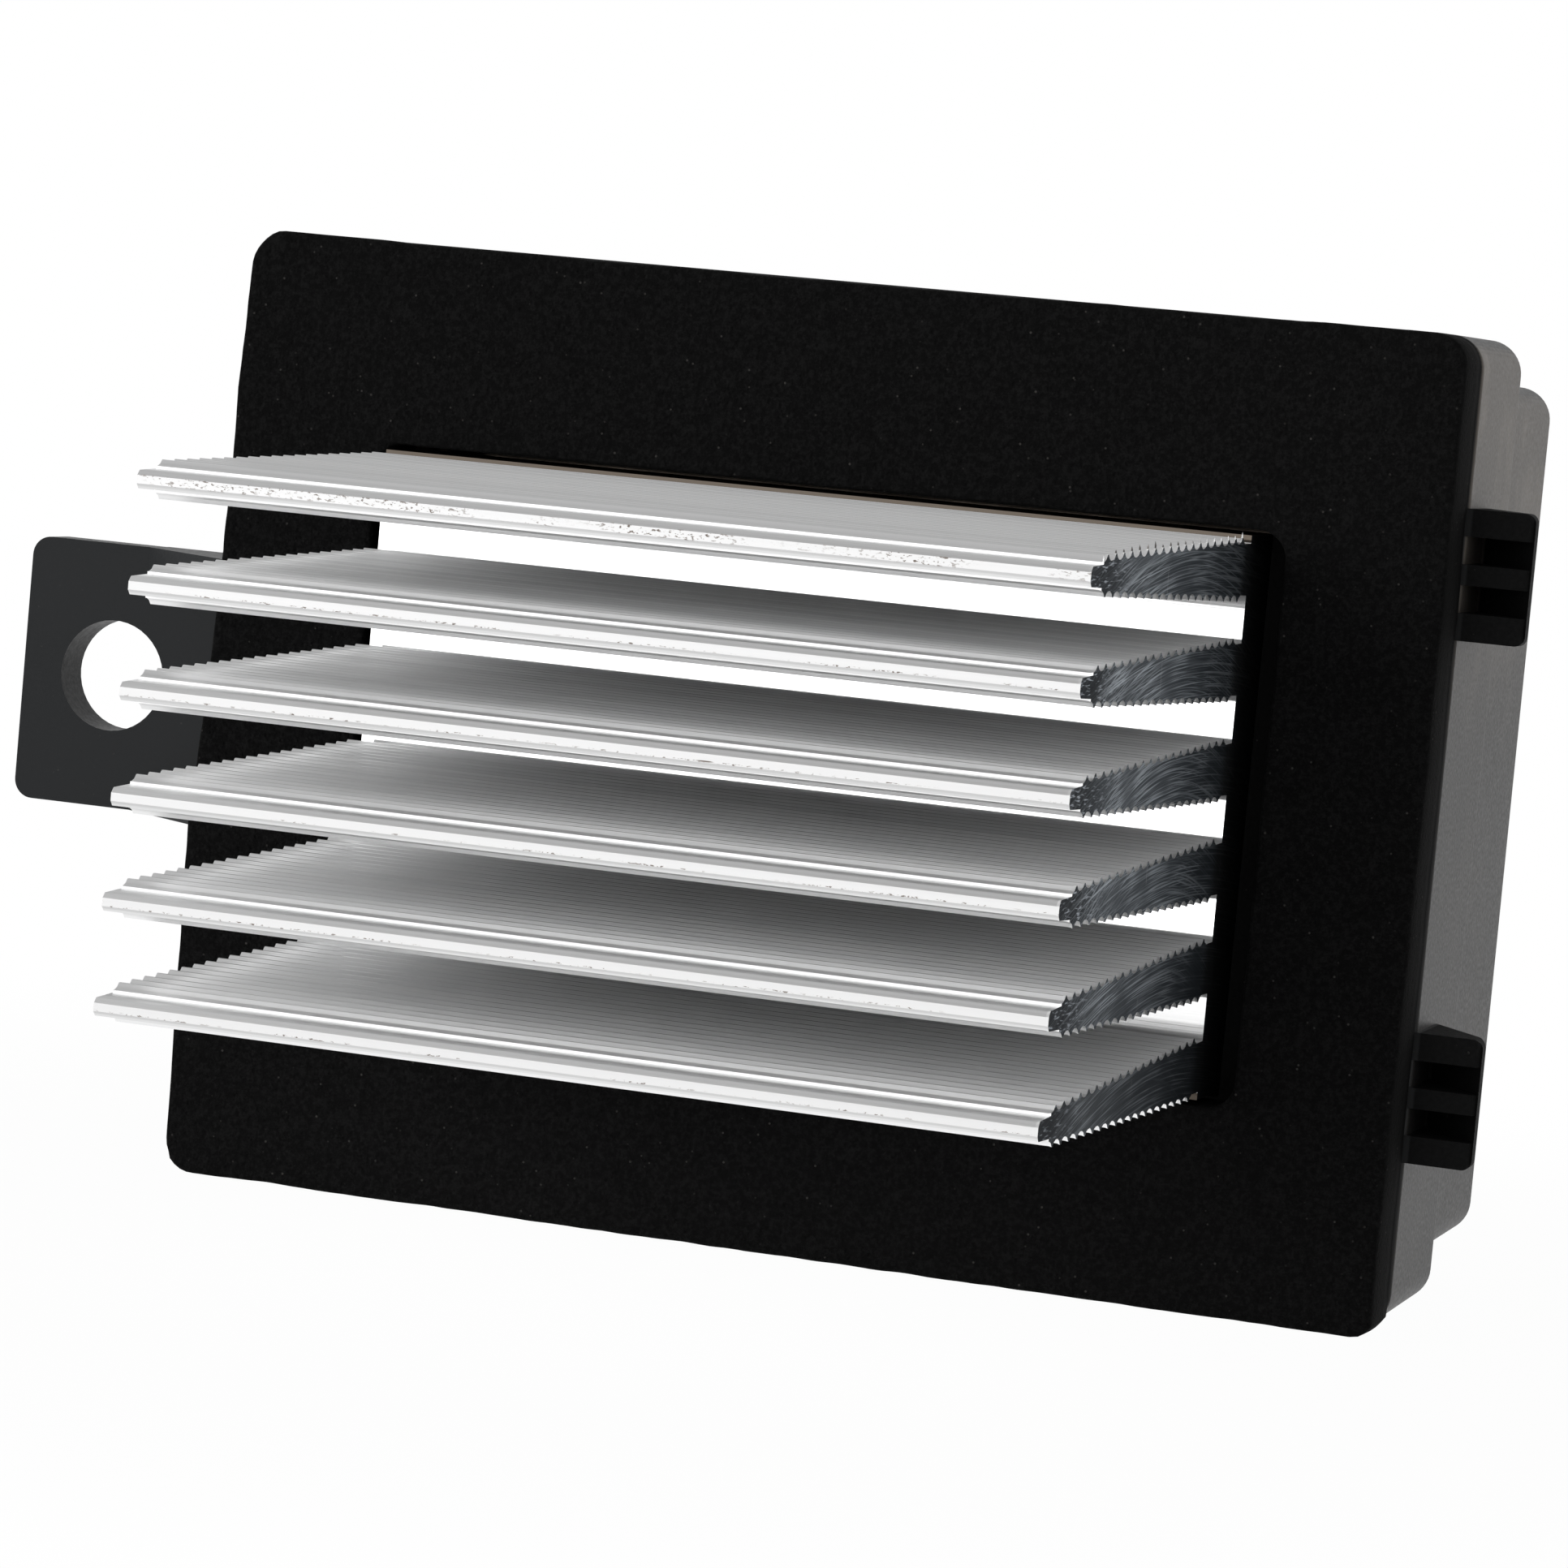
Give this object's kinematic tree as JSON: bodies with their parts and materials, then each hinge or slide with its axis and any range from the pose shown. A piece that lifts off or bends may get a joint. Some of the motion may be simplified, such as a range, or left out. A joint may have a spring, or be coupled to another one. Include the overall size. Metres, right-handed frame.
{
  "type": "blower motor resistor",
  "caption": "Heater fan speed control module: black rectangular housing with foam seal, ridged aluminium cooling fins standing through it, a screw ear, locating lugs and a rear plug socket.",
  "frame": {"origin": "centre of the foam's sealing face, in the plane that lies against the duct wall", "axes": "+X along the fins, towards the two locating lugs; -Y out of the sealing face, the way the fins stand into the duct; +Z across the fins, up as in the picture"},
  "size_m": [0.0969, 0.078, 0.0576],
  "materials": {
    "housing_plastic": "moulded black plastic, satin",
    "seal_foam": "black closed-cell foam, fine-grained",
    "fin_aluminium": "bare extruded aluminium with saw-cut ends",
    "screw_steel": "zinc-plated",
    "spring_steel": "plain strip",
    "terminal_brass": "tin-plated",
    "tinned_copper": "tinned",
    "shunt_metal": "bare resistance metal",
    "board_laminate": "green solder mask",
    "package_resin": "moulded resin",
    "capacitor_can": "drawn can",
    "chip_ceramic": "fired ceramic",
    "pad_silicone": "grey silicone sheet",
    "sensor_epoxy": "dipped epoxy"
  },
  "bodies": {
    "root": {"housing": "housing_plastic", "rear_cover": "housing_plastic", "foam_gasket": "seal_foam", "heat_sink": "fin_aluminium", "circuit_board": "board_laminate", "clamp_bar": "spring_steel", "clamp_screw": "screw_steel", "heat_sink_screws": "screw_steel", "board_screws": "screw_steel", "cover_screws": "screw_steel", "shunt_resistor": "shunt_metal", "protection_diode": "package_resin", "temperature_sensor": "sensor_epoxy", "control_chip": "package_resin", "chip_resistors": "chip_ceramic", "chip_capacitors": "chip_ceramic", "power_transistor_1": "package_resin", "power_transistor_2": "package_resin", "transistor_terminals_1": "tinned_copper", "transistor_terminals_2": "tinned_copper", "thermal_pad_1": "pad_silicone", "thermal_pad_2": "pad_silicone", "capacitor_1": "capacitor_can", "capacitor_2": "capacitor_can", "power_blade_1": "terminal_brass", "power_blade_2": "terminal_brass", "signal_pin_1": "terminal_brass", "signal_pin_2": "terminal_brass", "signal_pin_3": "terminal_brass"}
  },
  "joints": []
}
